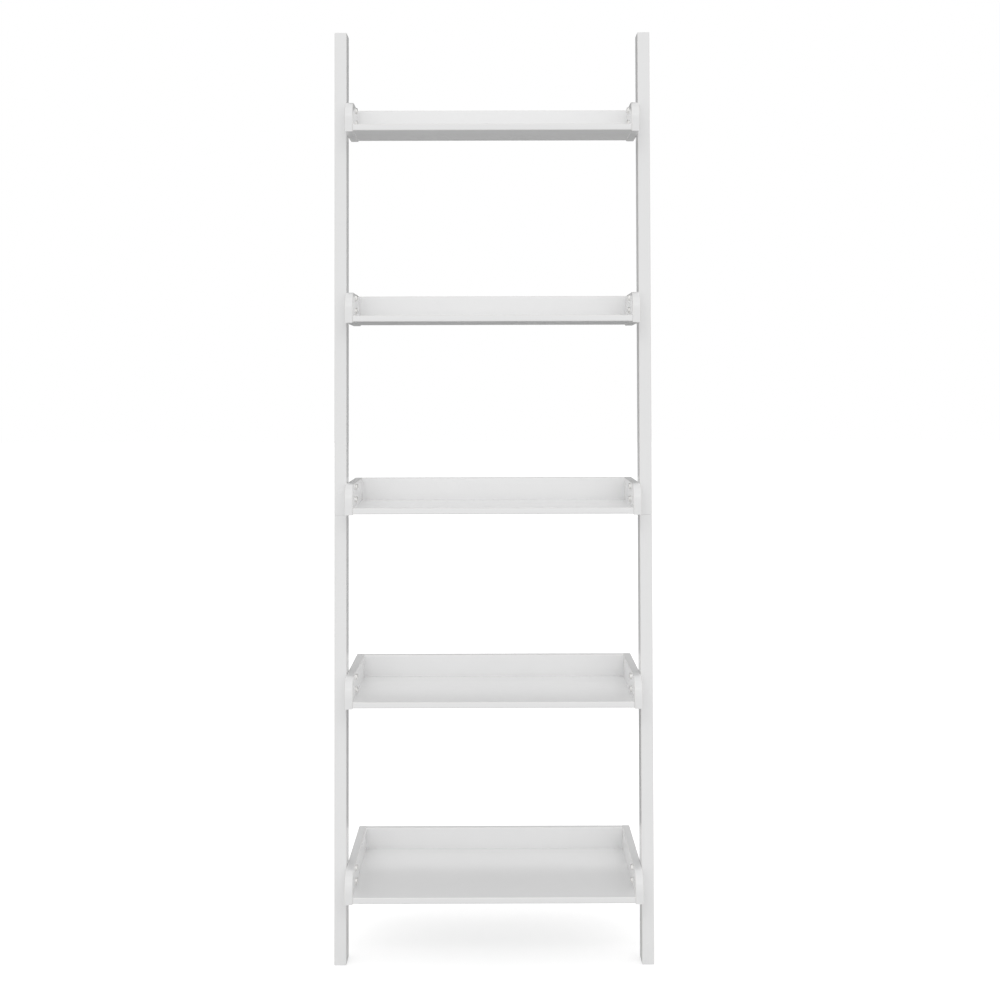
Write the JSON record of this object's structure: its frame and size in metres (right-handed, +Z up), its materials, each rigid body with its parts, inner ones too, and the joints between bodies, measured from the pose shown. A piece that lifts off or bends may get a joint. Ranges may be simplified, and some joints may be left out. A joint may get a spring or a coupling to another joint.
{
  "type": "leaning shelf",
  "caption": "Leaning shelf: two raking side rails carry open-fronted trays that grow deeper towards the floor, to hold books and displayed things against a wall.",
  "frame": {"origin": "on the floor, in the middle of the width and of the depth", "axes": "+X to the right seen from the front, +Y towards the wall behind, +Z up"},
  "size_m": [0.628, 0.368, 1.829],
  "materials": {
    "white_lacquer": "white satin lacquer over wood",
    "bolt_nickel": "bright nickel plate",
    "zinc_plate": "dull zinc plate",
    "dowel_beech": "bare beech"
  },
  "bodies": {
    "root": {"rail_left_lower": "white_lacquer", "rail_left_upper": "white_lacquer", "rail_right_lower": "white_lacquer", "rail_right_upper": "white_lacquer", "rail_seam_dowels": "dowel_beech", "rail_seam_cam_bolts": "zinc_plate", "rail_seam_cams": "zinc_plate", "tray_1_side_left": "white_lacquer", "tray_1_side_right": "white_lacquer", "tray_1_board": "white_lacquer", "tray_1_back": "white_lacquer", "tray_1_dowels": "dowel_beech", "tray_1_bolts": "bolt_nickel", "tray_1_inserts": "zinc_plate", "tray_2_side_left": "white_lacquer", "tray_2_side_right": "white_lacquer", "tray_2_board": "white_lacquer", "tray_2_back": "white_lacquer", "tray_2_dowels": "dowel_beech", "tray_2_bolts": "bolt_nickel", "tray_2_inserts": "zinc_plate", "tray_3_side_left": "white_lacquer", "tray_3_side_right": "white_lacquer", "tray_3_board": "white_lacquer", "tray_3_back": "white_lacquer", "tray_3_dowels": "dowel_beech", "tray_3_bolts": "bolt_nickel", "tray_3_inserts": "zinc_plate", "tray_4_side_left": "white_lacquer", "tray_4_side_right": "white_lacquer", "tray_4_board": "white_lacquer", "tray_4_back": "white_lacquer", "tray_4_dowels": "dowel_beech", "tray_4_bolts": "bolt_nickel", "tray_4_inserts": "zinc_plate", "tray_5_side_left": "white_lacquer", "tray_5_side_right": "white_lacquer", "tray_5_board": "white_lacquer", "tray_5_back": "white_lacquer", "tray_5_dowels": "dowel_beech", "tray_5_bolts": "bolt_nickel", "tray_5_inserts": "zinc_plate"}
  },
  "joints": []
}
